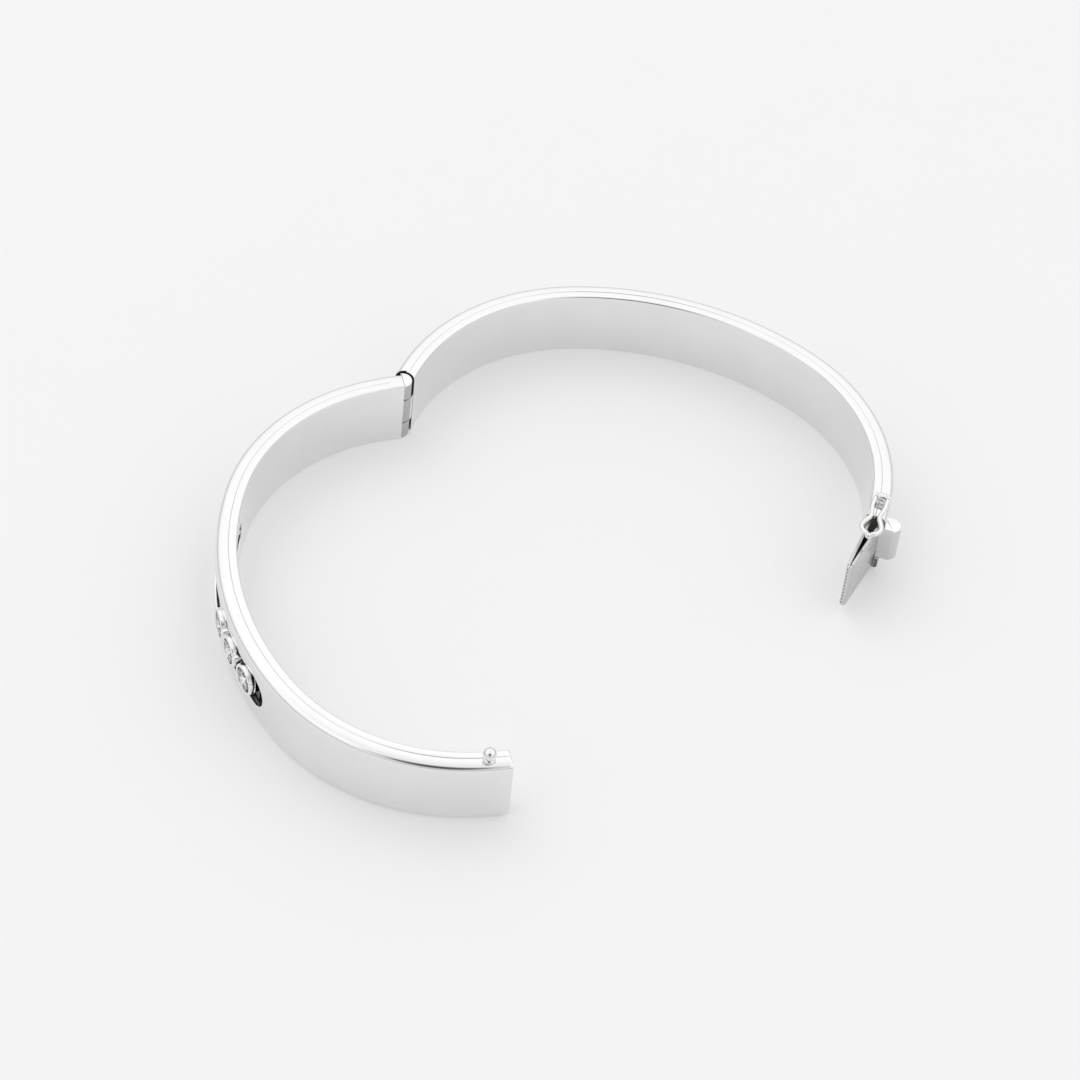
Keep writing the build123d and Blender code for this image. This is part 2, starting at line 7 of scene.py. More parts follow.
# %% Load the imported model
import json
from math import acos, asin, atan2, cos, degrees, pi, radians, sin, sqrt, tan

import bmesh
import bpy
from mathutils import Matrix, Vector


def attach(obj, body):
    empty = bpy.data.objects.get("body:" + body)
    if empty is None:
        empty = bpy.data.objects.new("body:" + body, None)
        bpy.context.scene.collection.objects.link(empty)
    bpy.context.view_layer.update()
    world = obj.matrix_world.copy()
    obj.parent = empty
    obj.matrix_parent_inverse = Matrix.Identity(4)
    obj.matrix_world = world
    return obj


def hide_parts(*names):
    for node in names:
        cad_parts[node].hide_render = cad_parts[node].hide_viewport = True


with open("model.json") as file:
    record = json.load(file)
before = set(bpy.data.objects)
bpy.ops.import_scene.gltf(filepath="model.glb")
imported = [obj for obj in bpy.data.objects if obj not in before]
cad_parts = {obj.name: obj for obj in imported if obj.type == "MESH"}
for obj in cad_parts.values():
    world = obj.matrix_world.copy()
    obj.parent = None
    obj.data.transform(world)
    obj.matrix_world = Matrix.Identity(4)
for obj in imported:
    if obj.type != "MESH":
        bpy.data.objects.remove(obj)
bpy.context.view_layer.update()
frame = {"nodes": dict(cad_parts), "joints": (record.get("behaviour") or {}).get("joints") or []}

# %% [markdown]
# ## Where the two halves lie
# The maker thinks of each half on its own: the closed oval is centred on the origin, the back half
# is above the x axis and the front half below it. All pieces here are drawn in that plan, in
# millimetres, and one matrix per half carries them to their place. The hinge and its angle are read
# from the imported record, so a piece lands exactly where its moving body turns.

# %% Places of the halves
MILLI = 0.001
HINGE_X = -28.96
joints = {joint["name"]: joint for joint in frame["joints"]}
hinge_at = Vector(joints["main_hinge"]["pos_m"]) / MILLI
open_angle = joints["main_hinge"]["range_deg"][1]
to_metres = Matrix.Scale(MILLI, 4)
back_place = Matrix.Translation((hinge_at.x - HINGE_X, hinge_at.y, 0))
front_place = (
    Matrix.Translation((hinge_at.x, hinge_at.y, 0))
    @ Matrix.Rotation(radians(-open_angle), 4, "Z")
    @ Matrix.Translation((-HINGE_X, 0, 0))
)
print("hinge at", [round(v, 3) for v in hinge_at], "open by", open_angle)

# %% [markdown]
# ## The camera
# The bangle is seen from above and a little to the right with a long lens, which keeps the oval
# nearly free of perspective. The camera is set first, because every later choice of light and finish
# is judged through it. It is placed by a target on the table, a distance and three angles.

# %% Camera
CAMERA_TARGET = Vector((-2.683, 3.624, 0)) * MILLI
CAMERA_DISTANCE = 432.65 * MILLI
CAMERA_RISE, CAMERA_TURN, CAMERA_ROLL = radians(47.17), radians(13.12), radians(-6.68)
LENS, SENSOR_WIDTH = 123.7, 36           # millimetres

level = cos(CAMERA_RISE)
toward = Vector((sin(CAMERA_TURN) * level, -cos(CAMERA_TURN) * level, sin(CAMERA_RISE)))
level_right = Vector((cos(CAMERA_TURN), sin(CAMERA_TURN), 0))
camera_up = toward.cross(level_right)
roll_right = cos(CAMERA_ROLL) * level_right - sin(CAMERA_ROLL) * camera_up
roll_up = sin(CAMERA_ROLL) * level_right + cos(CAMERA_ROLL) * camera_up
camera = bpy.data.objects.new("camera", bpy.data.cameras.new("camera"))
camera.data.lens = LENS
camera.data.sensor_width = SENSOR_WIDTH
camera.matrix_world = (
    Matrix.Translation(CAMERA_TARGET + CAMERA_DISTANCE * toward)
    @ Matrix((roll_right, roll_up, toward)).transposed().to_4x4()
)
bpy.context.scene.collection.objects.link(camera)
bpy.context.scene.camera = camera
print("camera at", [round(v, 4) for v in camera.location])

# %% [markdown]
# ## The table and the light
# Polished metal has no colour of its own: what shows on it is the room. A pale table and a bright,
# even room make the side faces nearly white, and the walls take the soft grey of the table. The thin
# dark lines that draw the edges come from the darker part of the room behind the camera, so the sky
# has one soft dark patch on that side. The patch belongs to the room, not to the camera: it stays
# where it is when the bangle is looked at from elsewhere.

# %% Table
def link(name, mesh):
    """A new object in the scene for a mesh."""
    piece = bpy.data.objects.new(name, mesh)
    bpy.context.scene.collection.objects.link(piece)
    return piece


def node_material(name):
    """An empty node material with its Principled shader."""
    material = bpy.data.materials.new(name)
    material.use_nodes = True
    return material, material.node_tree.nodes, material.node_tree.links


def noise_through(nodes, links, scale, detail, low, high, stretch=(1, 1, 1)):
    """Noise in the object's own space, brought to a range; gives the output socket."""
    place = nodes.new("ShaderNodeTexCoord")
    mapping = nodes.new("ShaderNodeMapping")
    mapping.inputs["Scale"].default_value = stretch
    noise = nodes.new("ShaderNodeTexNoise")
    noise.inputs["Scale"].default_value = scale
    noise.inputs["Detail"].default_value = detail
    spread = nodes.new("ShaderNodeMapRange")
    spread.inputs["From Min"].default_value = 0.3
    spread.inputs["From Max"].default_value = 0.7
    spread.inputs["To Min"].default_value = low
    spread.inputs["To Max"].default_value = high
    links.new(place.outputs["Object"], mapping.inputs["Vector"])
    links.new(mapping.outputs["Vector"], noise.inputs["Vector"])
    links.new(noise.outputs["Fac"], spread.inputs["Value"])
    return spread.outputs["Result"]


TABLE_HALF = 1.5                         # metres
TABLE_GREY, TABLE_GLOW = (0.56, 0.56, 0.563, 1), 0.325

table_corners = [(x * TABLE_HALF, y * TABLE_HALF, 0) for x, y in ((-1, -1), (1, -1), (1, 1), (-1, 1))]
table_mesh = bpy.data.meshes.new("table")
table_mesh.from_pydata(table_corners, [], [(0, 1, 2, 3)])
table = link("table", table_mesh)
table_paper, nodes, links = node_material("table_paper")
paper = nodes["Principled BSDF"]
paper.inputs["Base Color"].default_value = TABLE_GREY
paper.inputs["Emission Color"].default_value = (1, 1, 1, 1)
paper.inputs["Emission Strength"].default_value = TABLE_GLOW
paper.inputs["Specular IOR Level"].default_value = 0.2
links.new(noise_through(nodes, links, 90, 4, 0.55, 0.7), paper.inputs["Roughness"])
table.data.materials.append(table_paper)
print("table:", 2 * TABLE_HALF, "m square")

# %% Room
# each stop: how far up, or towards the patch, a direction points, and the room's grey there
SKY_GREYS = [(-1.0, 0.80), (0.0, 0.30), (0.16, 0.80), (0.62, 1.12), (0.80, 1.17), (1.0, 0.98)]
PATCH_GREYS = [(0.82, 1.0), (0.93, 0.62), (0.968, 0.16), (1.0, 0.08)]
PATCH_TOWARDS, ROOM_STRENGTH = (0.16, -0.70, 0.66), 1.02
LAMP_PLACE, LAMP_SIZE, LAMP_POWER = (-0.75, 0.35, 1.10), 0.9, 1.6

world = bpy.data.worlds.new("room")
bpy.context.scene.world = world
world.use_nodes = True
nodes, links = world.node_tree.nodes, world.node_tree.links
sky_dir = nodes.new("ShaderNodeTexCoord")


def facing(direction):
    """How far a line of sight points in a direction, from -1 to 1."""
    dot = nodes.new("ShaderNodeVectorMath")
    dot.operation = "DOT_PRODUCT"
    dot.inputs[1].default_value = Vector(direction).normalized()
    links.new(sky_dir.outputs["Generated"], dot.inputs[0])
    return dot.outputs["Value"]


def ramp(socket, stops):
    """A ramp of grey levels over a socket that runs from -1 to 1."""
    shift = nodes.new("ShaderNodeMapRange")
    shift.inputs["From Min"].default_value = -1
    shift.inputs["From Max"].default_value = 1
    table_of_grey = nodes.new("ShaderNodeValToRGB")
    table_of_grey.color_ramp.interpolation = "EASE"
    marks = table_of_grey.color_ramp.elements
    while len(marks) < len(stops):
        marks.new(0.5)
    for mark, (at, grey) in zip(marks, stops):
        mark.position = (at + 1) / 2
        mark.color = (grey, grey, grey, 1)
    links.new(socket, shift.inputs["Value"])
    links.new(shift.outputs["Result"], table_of_grey.inputs["Fac"])
    return table_of_grey.outputs["Color"]


sky = ramp(facing((0, 0, 1)), SKY_GREYS)
patch = ramp(facing(PATCH_TOWARDS), PATCH_GREYS)
both = nodes.new("ShaderNodeMix")
both.data_type = "RGBA"
both.blend_type = "MULTIPLY"
both.inputs["Factor"].default_value = 1
links.new(sky, both.inputs["A"])
links.new(patch, both.inputs["B"])
links.new(both.outputs["Result"], nodes["Background"].inputs["Color"])
nodes["Background"].inputs["Strength"].default_value = ROOM_STRENGTH
bpy.context.scene.view_settings.view_transform = "Standard"

lamp = bpy.data.lights.new("soft_lamp", "AREA")
lamp.shape = "DISK"
lamp.size = LAMP_SIZE
lamp.energy = LAMP_POWER
soft_lamp = bpy.data.objects.new("soft_lamp", lamp)
soft_lamp.location = LAMP_PLACE
soft_lamp.visible_glossy = False
soft_lamp.rotation_euler = (-soft_lamp.location).to_track_quat("-Z", "Y").to_euler()
bpy.context.scene.collection.objects.link(soft_lamp)
print("room and one soft lamp of", lamp.energy, "W")

# %% [markdown]
# ## The finishes
# White gold is plated with rhodium and polished until it mirrors, but never perfectly: the buffing
# wheel leaves hair-fine lines and slightly duller clouds. The finish is a full metal whose roughness
# drifts in a soft noise, with a very shallow bump of long fine lines. The snap tongue is rolled
# spring strip, so its lines are closer and its sheen duller. The bezels are cut bright with a tool.

# %% Metal finishes
CLOUD_SCALE, CLOUD_SHARES = 220, (0.975, 1.0)     # soft clouds in the tint
HAZE_SCALE, LINE_STRENGTH = 420, 0.25             # drift of the roughness, and depth of the lines


def gold_finish(name, tint, rough, line_scale, line_stretch, line_depth):
    """Polished or brushed white gold: tint, range of roughness, and its fine lines."""
    material, nodes, links = node_material(name)
    shader = nodes["Principled BSDF"]
    shader.inputs["Metallic"].default_value = 1
    clouds = nodes.new("ShaderNodeValToRGB")
    for mark, share in zip(clouds.color_ramp.elements, CLOUD_SHARES):
        mark.color = (tint[0] * share, tint[1] * share, tint[2] * share, 1)
    links.new(noise_through(nodes, links, CLOUD_SCALE, 2, 0, 1), clouds.inputs["Fac"])
    links.new(clouds.outputs["Color"], shader.inputs["Base Color"])
    links.new(noise_through(nodes, links, HAZE_SCALE, 3, *rough), shader.inputs["Roughness"])
    lines = noise_through(nodes, links, line_scale, 2, 0, 1, line_stretch)
    bump = nodes.new("ShaderNodeBump")
    bump.inputs["Strength"].default_value = LINE_STRENGTH
    bump.inputs["Distance"].default_value = line_depth
    links.new(lines, bump.inputs["Height"])
    links.new(bump.outputs["Normal"], shader.inputs["Normal"])
    print("finish", name, "roughness", rough)
    return material


polished_gold = gold_finish("polished_gold", (0.845, 0.845, 0.842), (0.045, 0.085), 900, (1, 1, 5), 1.2e-6)
bright_cut_gold = gold_finish("bright_cut_gold", (0.91, 0.91, 0.905), (0.03, 0.06), 1500, (1, 1, 1), 0.6e-6)
spring_gold = gold_finish("spring_gold", (0.62, 0.62, 0.612), (0.18, 0.36), 1500, (1, 1, 3), 1.4e-5)
# the push button's sides: a satin sheen, and a darker tint that is painted shade
satin_painted_shade_gold = gold_finish("satin_painted_shade_gold", (0.66, 0.66, 0.655), (0.10, 0.24), 1300, (1, 1, 2), 8e-6)
brushed_gold = gold_finish("brushed_gold", (0.50, 0.50, 0.49), (0.18, 0.34), 1700, (1, 1, 5), 1.2e-5)
# painted shade: a dark copy of the gold for the hollows, the hinge seats, the plates under the bezels and
# inside the mouth
painted_shade_gold = gold_finish("painted_shade_gold", (0.20, 0.195, 0.19), (0.38, 0.55), 1400, (1, 1, 1), 6e-6)

# %% [markdown]
# The stones are clear and bend light far more than glass. The colour comes from the cut alone, so
# the material is a clean refracting body with its real refractive index and almost no roughness,
# which a trace of polishing haze keeps from looking computed.

# %% Stone
STONE_BENDING = 2.417                    # refractive index

stone_clear, nodes, links = node_material("stone_clear")
shader = nodes["Principled BSDF"]
shader.inputs["Base Color"].default_value = (0.985, 0.99, 1.0, 1)
shader.inputs["IOR"].default_value = STONE_BENDING
shader.inputs["Transmission Weight"].default_value = 1
links.new(noise_through(nodes, links, 2500, 2, 0.0, 0.012), shader.inputs["Roughness"])
print("stone: refractive index", STONE_BENDING)

# %% [markdown]
# ## Small helpers for meshes
# Most pieces are one of four things: a profile turned on an axis, a plate with a rounded rim, a strip
# that follows a line, or a wire. Each helper returns plain lists of points and faces in millimetres,
# and one function makes the object, sets its shading and hands it to its moving body.

# %% From lists to a finished piece
SAME_POINT = 1e-5                        # points closer than this are one point


def finish_piece(
    name, shape, place, material, body, stands_for=(), crease=32, inside=None, second=painted_shade_gold
):
    """Make the object from (points, faces), carry it to its place and give it to its body.

    Faces whose centre passes the inside test, in the piece's own plan, take the second finish, by default
    the dark one that paints shade.
    """
    points, faces = shape
    mesh = bpy.data.meshes.new(name)
    mesh.from_pydata([tuple(p) for p in points], [], faces)
    if inside:
        for face in mesh.polygons:
            face.material_index = int(inside(face.center))
    tidy = bmesh.new()
    tidy.from_mesh(mesh)
    bmesh.ops.remove_doubles(tidy, verts=tidy.verts, dist=SAME_POINT)
    bmesh.ops.recalc_face_normals(tidy, faces=tidy.faces)
    tidy.to_mesh(mesh)
    tidy.free()
    mesh.transform(to_metres @ place)
    mesh.shade_smooth()
    mesh.set_sharp_from_angle(angle=radians(crease))
    mesh.materials.append(material)
    if inside:
        mesh.materials.append(second)
    piece = link(name, mesh)
    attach(piece, body)
    if stands_for:
        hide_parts(*stands_for)
    print(f"{name}: {len(mesh.vertices)} points, {len(mesh.polygons)} faces, on {body}")
    return piece


def joined(*shapes):
    """Several (points, faces) as one."""
    points, faces = [], []
    for more_points, more_faces in shapes:
        first = len(points)
        points += list(more_points)
        faces += [tuple(first + i for i in face) for face in more_faces]
    return points, faces


def moved(shape, place):
    """A shape carried by a matrix."""
    return [place @ Vector(p) for p in shape[0]], shape[1]


def rounded_corner(before, corner, after, radius, steps):
    """Points of the arc that rounds one corner of an outline."""
    corner = Vector(corner)
    to_before = (Vector(before) - corner).normalized()
    to_after = (Vector(after) - corner).normalized()
    half = acos(max(-1, min(1, to_before.dot(to_after)))) / 2
    centre = corner + (to_before + to_after).normalized() * radius / sin(half)
    start = corner + to_before * radius / tan(half) - centre
    end = corner + to_after * radius / tan(half) - centre
    turn = start.angle_signed(end)
    return [centre + Matrix.Rotation(-turn * i / steps, 2) @ start for i in range(steps + 1)]


def rounded_outline(corners, steps=6):
    """A closed outline from (x, y, radius) corners."""
    outline = []
    for i, (x, y, radius) in enumerate(corners):
        before, after = corners[i - 1][:2], corners[(i + 1) % len(corners)][:2]
        outline += rounded_corner(before, (x, y), after, radius, steps) if radius else [Vector((x, y))]
    return outline


def inset(outline, depth):
    """A closed outline moved inwards by a depth, point by point."""
    area = sum(a.x * b.y - b.x * a.y for a, b in zip(outline, outline[1:] + outline[:1]))
    turn = 1 if area > 0 else -1
    result = []
    for i, point in enumerate(outline):
        one = (point - outline[i - 1]).normalized()
        two = (outline[(i + 1) % len(outline)] - point).normalized()
        normal = Vector((-(one.y + two.y), one.x + two.x)).normalized() * turn
        stretch = 1 / max(0.5, sqrt(max(0, (1 + one.dot(two)) / 2)))
        result.append(point + normal * depth * stretch)
    return result


def ring_faces(rings, loop=False):
    """Quads between rings of equal count, the rings given as lists of point numbers."""
    pairs = list(zip(rings, rings[1:])) + ([(rings[-1], rings[0])] if loop else [])
    faces = []
    for one, two in pairs:
        count = len(one)
        faces += [(one[i], one[(i + 1) % count], two[(i + 1) % count], two[i]) for i in range(count)]
    return faces


# %% Turned profile and rounded plate
def turned(profile, steps=96):
    """A closed profile of (radius, height) turned about the z axis."""
    points = []
    for k in range(steps):
        a = 2 * pi * k / steps
        points += [Vector((r * cos(a), r * sin(a), h)) for r, h in profile]
    rings = [[k * len(profile) + i for i in range(len(profile))] for k in range(steps)]
    return points, ring_faces(rings, loop=True)


def plate(outline, low, high, rim, bore=0, steps=4):
    """A plate of any outline whose two rims are rounded; bore makes a round hole on the z axis."""
    levels = []
    for i in range(steps + 1):
        a = pi / 2 * i / steps
        levels.append((rim * (1 - sin(a)), low + rim * (1 - cos(a))))
    levels += [(depth, low + high - z) for depth, z in reversed(levels)]
    points, rings = [], []
    for depth, z in levels:
        rings.append(list(range(len(points), len(points) + len(outline))))
        points += [Vector((p.x, p.y, z)) for p in inset(outline, depth)]
    if not bore:
        return points, ring_faces(rings) + [tuple(reversed(rings[0])), tuple(rings[-1])]
    for z in (high, low):
        rings.append(list(range(len(points), len(points) + len(outline))))
        points += [Vector((*(p.normalized() * bore), z)) for p in outline]
    return points, ring_faces(rings, loop=True)


def circle(radius, steps=64, start=0, sweep=360):
    """Points on a circle, or on a part of it."""
    count = steps if sweep == 360 else steps + 1
    turns = [radians(start + sweep * i / steps) for i in range(count)]
    return [Vector((radius * cos(a), radius * sin(a))) for a in turns]


# %% [markdown]
# ## The band
# Each half is a hollow made of two pressed channels, an outer shell and an inner liner, soldered
# along a seam that shows as a hair line on the side faces. A boolean cut would leave long thin faces
# in the mirror finish, so the band is written as a formula instead: a section with rounded shoulders
# is carried along five touching arcs, and the slot is left out of the grid and closed by rings of
# faces that turn from the grid's rectangle into the slot's round-ended outline. Near the clasp the
# front liner is thinned from inside, so that the snap tongue passes it as the bangle closes.

# %% Route of the band
HALF_T, MID = 1.25, 4.40                 # half the band's thickness and half its width
SEAM, HOLLOW_OUT, HOLLOW_IN, HOLLOW_HALF = -0.25, 0.65, -0.75, 3.70
END_RADIUS, CORNER_RADIUS, FLAT_RADIUS = 29.0, 23.3814, 37.0
FLAT_CENTRE, CORNER_X, CORNER_Y, END_TURN, FLAT_HALF = 11.5, 5.5392, 0.9412, 9.643, 24.0
BLOCK_TURN = 3.166                       # the band's two channels stop here, short of the hinge

# each arc: centre x and y, radius, start and end angle, steps
ROUTE = (
    (0, 0, END_RADIUS, 0, END_TURN, 12),
    (CORNER_X, CORNER_Y, CORNER_RADIUS, END_TURN, 90 - FLAT_HALF, 36),
    (0, -FLAT_CENTRE, FLAT_RADIUS, 90 - FLAT_HALF, 90 + FLAT_HALF, 72),
    (-CORNER_X, CORNER_Y, CORNER_RADIUS, 90 + FLAT_HALF, 180 - END_TURN, 36),
    (0, 0, END_RADIUS, 180 - END_TURN, 180 - BLOCK_TURN, 8),
)


def stations(first_turn):
    """Sections' places from the clasp to the hinge; first_turn is where the clasp end starts."""
    places = []
    for number, (x, y, radius, start, end, steps) in enumerate(ROUTE):
        if number == 0:
            start = first_turn
        places += [(x, y, radius, start + (end - start) * i / steps) for i in range(steps)]
    x, y, radius, _, end, _ = ROUTE[-1]
    return places + [(x, y, radius, end)]


def on_band(side, station, u, w):
    """A point of one half: u is outwards from the middle of the wall, w is across the band."""
    x, y, radius, angle = station
    a = radians(angle)
    return Vector((x + (radius + u) * cos(a), side * (y + (radius + u) * sin(a)), MID + w))


clasp_length = radians(END_TURN) * END_RADIUS
print("clasp arc", round(clasp_length, 2), "mm, sections per half:", len(stations(0)))

# %% Sections of the two channels
ROWS = [-3.3 + 6.6 * i / 24 for i in range(25)]     # rows across the face, shared by both skins
SHOULDER_U, SHOULDER_W = 1.20, 4.25
SHOULDER_ROUND, INNER_ROUND, SEAM_ROUND = 0.75, 0.25, 0.09


def crown(w):
    """The outer face bulges by a hair."""
    return HALF_T - (HALF_T - SHOULDER_U) * (w / SHOULDER_W) ** 2


def channel(corner_u, corner_w, corner_radius, face, hollow):
    """One channel's closed section, with the numbers of its face rows and hollow rows."""
    outline = [Vector((SEAM, -HOLLOW_HALF))]
    seam_corner, corner = (SEAM, -MID), (corner_u, -corner_w)
    outline += rounded_corner(outline[0], seam_corner, corner, SEAM_ROUND, 4)
    outline += rounded_corner(seam_corner, corner, (face(ROWS[0]), ROWS[0]), corner_radius, 10)
    face_rows = range(len(outline), len(outline) + len(ROWS))
    outline += [Vector((face(w), w)) for w in ROWS]
    outline += [Vector((p.x, -p.y)) for p in reversed(outline[: face_rows[0]])]
    hollow_rows = range(len(outline) + len(ROWS), len(outline), -1)
    outline.append(Vector((hollow, HOLLOW_HALF)))
    outline += [Vector((hollow, w)) for w in reversed(ROWS)]
    outline.append(Vector((hollow, -HOLLOW_HALF)))
    return outline, list(face_rows), list(hollow_rows)


def inner_face(w):
    """The inner face is flat across the band."""
    return -HALF_T


shell_section = channel(SHOULDER_U, SHOULDER_W, SHOULDER_ROUND, crown, HOLLOW_OUT)
liner_section = channel(-HALF_T, MID, INNER_ROUND, inner_face, HOLLOW_IN)
print("section points:", len(shell_section[0]), len(liner_section[0]))

# %% Clasp end of a channel
TIP_LOW, TIP_HIGH, TIP_EDGE = 0.70, 0.22, 0.07    # rounding of the clasp end's corners and edges
TIP_STEPS, TIP_FADE = 3, 0.8 * END_TURN           # steps round the edge; the corners fade by this turn
RELIEF_END, RELIEF_FADE = 6.6, 2.0                # a thinned liner is full again here; length of the fade


def tip_back(w):
    """How far the clasp end is rounded back at the lower and the upper side face."""
    below, above = TIP_LOW - (w + MID), TIP_HIGH - (MID - w)
    low = TIP_LOW - sqrt(max(0, TIP_LOW**2 - below**2)) if below > 0 else 0
    high = TIP_HIGH - sqrt(max(0, TIP_HIGH**2 - above**2)) if above > 0 else 0
    return low + high


def from_clasp(place):
    """Length along the band from the clasp plane; anywhere past the corner, a length past the relief."""
    if place[3] < END_TURN and place[2] == END_RADIUS:
        return radians(place[3]) * END_RADIUS
    if place[3] < 90 and place[2] == CORNER_RADIUS:
        return clasp_length + radians(place[3] - END_TURN) * CORNER_RADIUS
    return 2 * RELIEF_END


def band_grid(side, section, first_turn, relief):
    """Points of one channel, section by section; the first few sections round the end's edges."""
    outline, _, hollow_rows = section
    start, *others = stations(first_turn)
    every = []
    for i in range(TIP_STEPS + 1):
        a = pi / 2 * i / TIP_STEPS
        back_by = degrees(TIP_EDGE * (1 - cos(a)) / END_RADIUS)
        every.append(((*start[:3], start[3] + back_by), TIP_EDGE * (1 - sin(a))))
    every += [(place, 0) for place in others]
    points, rings = [], []
    for place, depth in every:
        rings.append(list(range(len(points), len(points) + len(outline))))
        thinned = relief * max(0, min(1, (RELIEF_END - from_clasp(place)) / RELIEF_FADE))
        in_end_arc = place[:3] == start[:3] and place[3] < 90
        fade = max(0, 1 - (place[3] - first_turn) / TIP_FADE) if in_end_arc else 0
        for k, p in enumerate(inset(outline, depth) if depth else outline):
            shift = degrees(tip_back(p.y) * fade / END_RADIUS)
            u = p.x - thinned if k in hollow_rows else p.x
            points.append(on_band(side, (*place[:3], place[3] + shift), u, p.y))
    return points, rings, [place for place, _ in every]


# %% Round-ended window
WINDOW_EDGE = 0.07                       # rounding of the window's rims
WINDOW_SPREAD = (0.3, 0.6, 0.85, 1.0)    # rings of faces from the grid's gap to the window's rim


def stadium(a, w, straight, half_height, grow):
    """The point of a round-ended outline that faces a point (a, w) outside it."""
    if abs(a) <= straight:
        return a, (half_height + grow) * (1 if w > 0 else -1)
    turn = atan2(w, abs(a) - straight)
    reach = half_height + grow
    return (straight + reach * cos(turn)) * (1 if a > 0 else -1), reach * sin(turn)


def window_rings(side, points, rings, places, section, face, hollow, half_height, end_turn):
    """Close the gap between the grid and a round-ended window, through the wall and back."""
    flat = [i for i, place in enumerate(places) if place[2] == FLAT_RADIUS]
    first, last, top_row = flat[0], flat[-1] + 1, len(ROWS) - 1
    loop = [(i, 0) for i in range(first, last + 1)]
    loop += [(last, j) for j in range(1, top_row + 1)]
    loop += [(i, top_row) for i in range(last - 1, first - 1, -1)]
    loop += [(first, j) for j in range(top_row - 1, 0, -1)]
    radius, wall = FLAT_RADIUS + face(0), abs(face(0) - hollow)
    straight = radians(end_turn) * radius
    turns = {i: places[i][3] - 90 for i in flat} | {last: FLAT_HALF}
    spots = [(radians(turns[i]) * radius, ROWS[j]) for i, j in loop]
    # each ring: share of the way to the rim, how far outside it, and depth as a share of the wall
    plan = [(share, WINDOW_EDGE, 0.0) for share in WINDOW_SPREAD]
    for a in (pi / 8, pi / 4, 3 * pi / 8, pi / 2):
        plan.append((1.0, WINDOW_EDGE * (1 - sin(a)), WINDOW_EDGE * (1 - cos(a)) / wall))
    for a in (pi / 2, pi / 4, 0):
        plan.append((1.0, WINDOW_EDGE * (1 - sin(a)), 1 - WINDOW_EDGE * (1 - cos(a)) / wall))
    plan.append((0.5, WINDOW_EDGE, 1.0))
    skins = [[rings[i][section[1][j]] for i, j in loop]]
    for blend, grow, depth in plan:
        skins.append(list(range(len(points), len(points) + len(loop))))
        for a, w in spots:
            to_a, to_w = stadium(a, w, straight, half_height, grow)
            at_a, at_w = a + (to_a - a) * blend, w + (to_w - w) * blend
            u = face(at_w) + (hollow - face(at_w)) * depth
            place = (0, -FLAT_CENTRE, FLAT_RADIUS, 90 + degrees(at_a / radius))
            points.append(on_band(side, place, u, at_w))
    skins.append([rings[i][section[2][j]] for i, j in loop])
    return ring_faces(skins), (first, last)


# %% A half of the band
def end_arc_section(places, turn):
    """Number of the end arcs' section that is nearest to an angle."""
    in_arc = [i for i, place in enumerate(places) if place[2] == END_RADIUS]
    return min(in_arc, key=lambda i: abs(places[i][3] - turn))


def notch_walls(rings, section, end, low, high):
    """Walls round a notch as long as the first sections up to end, and the clasp end's split face."""
    _, face_rows, hollow_rows = section
    faces = []
    for j in (low, high):
        outer, inner = face_rows[j], hollow_rows[j]
        for here, ahead in zip(rings[:end], rings[1:]):
            faces.append((here[outer], ahead[outer], ahead[inner], here[inner]))
    last, first = rings[end], rings[0]
    for j in range(low, high):
        outer, inner = face_rows[j:j + 2], hollow_rows[j:j + 2]
        faces.append((last[outer[0]], last[outer[1]], last[inner[1]], last[inner[0]]))
    faces.append(tuple(first[: face_rows[low] + 1] + first[hollow_rows[low]:]))
    faces.append(tuple(first[face_rows[high]: hollow_rows[high] + 1]))
    return faces


def half_channel(side, section, first_turn, face, hollow, window=None, notch=None, relief=0):
    """One channel of one half, open where it has a window or a notch.

    window is (half height, end turn) and notch is (length, half width). relief thins the wall near
    the clasp from its hollow side.
    """
    outline, face_rows, hollow_rows = section
    points, rings, places = band_grid(side, section, first_turn, relief)
    row_of = {k: j for rows in (face_rows, hollow_rows) for j, k in enumerate(rows)}
    faces, open_sections = [], range(0)
    if window:
        faces, (first, last) = window_rings(side, points, rings, places, section, face, hollow, *window)
        open_sections = range(first, last)
    notch_end, notch_rows = 0, []
    if notch:
        notch_end = end_arc_section(places, first_turn + degrees(notch[0] / END_RADIUS))
        notch_rows = [j for j, w in enumerate(ROWS) if abs(w) <= notch[1]]
    for i, (here, ahead) in enumerate(zip(rings, rings[1:])):
        for k in range(len(outline)):
            after = (k + 1) % len(outline)
            one, two = row_of.get(k), row_of.get(after)
            on_rows = one is not None and two is not None
            in_notch = i < notch_end and one in notch_rows and two in notch_rows
            if not (on_rows and (i in open_sections or in_notch)):
                faces.append((here[k], here[after], ahead[after], ahead[k]))
    faces.append(tuple(rings[-1]))
    if notch:
        faces += notch_walls(rings, section, notch_end, notch_rows[0], notch_rows[-1])
    else:
        faces.append(tuple(reversed(rings[0])))
    return points, faces


# %% Make the four channels
CLASP_GAP = 0.05                         # the front half stops a hair short of the back half
SLOT_HALF, SLOT_END = 2.05, 17.429
WINDOW_HALF, WINDOW_END = 1.70, 17.954
NOTCH_LENGTH, NOTCH_HALF = 2.66, 2.6
RELIEF, HAIR = 0.24, 0.02
END_SHARE = 0.97                         # a margin, short of where an end arc meets a corner arc
front_first = degrees(asin(CLASP_GAP / END_RADIUS))


def in_hollow(point):
    """Whether a point of either half's plan lies between the channels' walls."""
    x, y = abs(point.x), abs(point.y)
    low = HOLLOW_IN - HAIR
    if degrees(atan2(y, x)) < END_TURN * END_SHARE:
        u = Vector((x, y)).length - END_RADIUS
        low = HOLLOW_IN - (RELIEF + 2 * HAIR)
    elif abs(degrees(atan2(x, y + FLAT_CENTRE))) < FLAT_HALF:
        u = Vector((x, y + FLAT_CENTRE)).length - FLAT_RADIUS
    else:
        u = Vector((x - CORNER_X, y - CORNER_Y)).length - CORNER_RADIUS
    return low < u < HOLLOW_OUT + HAIR and abs(point.z - MID) < HOLLOW_HALF + HAIR


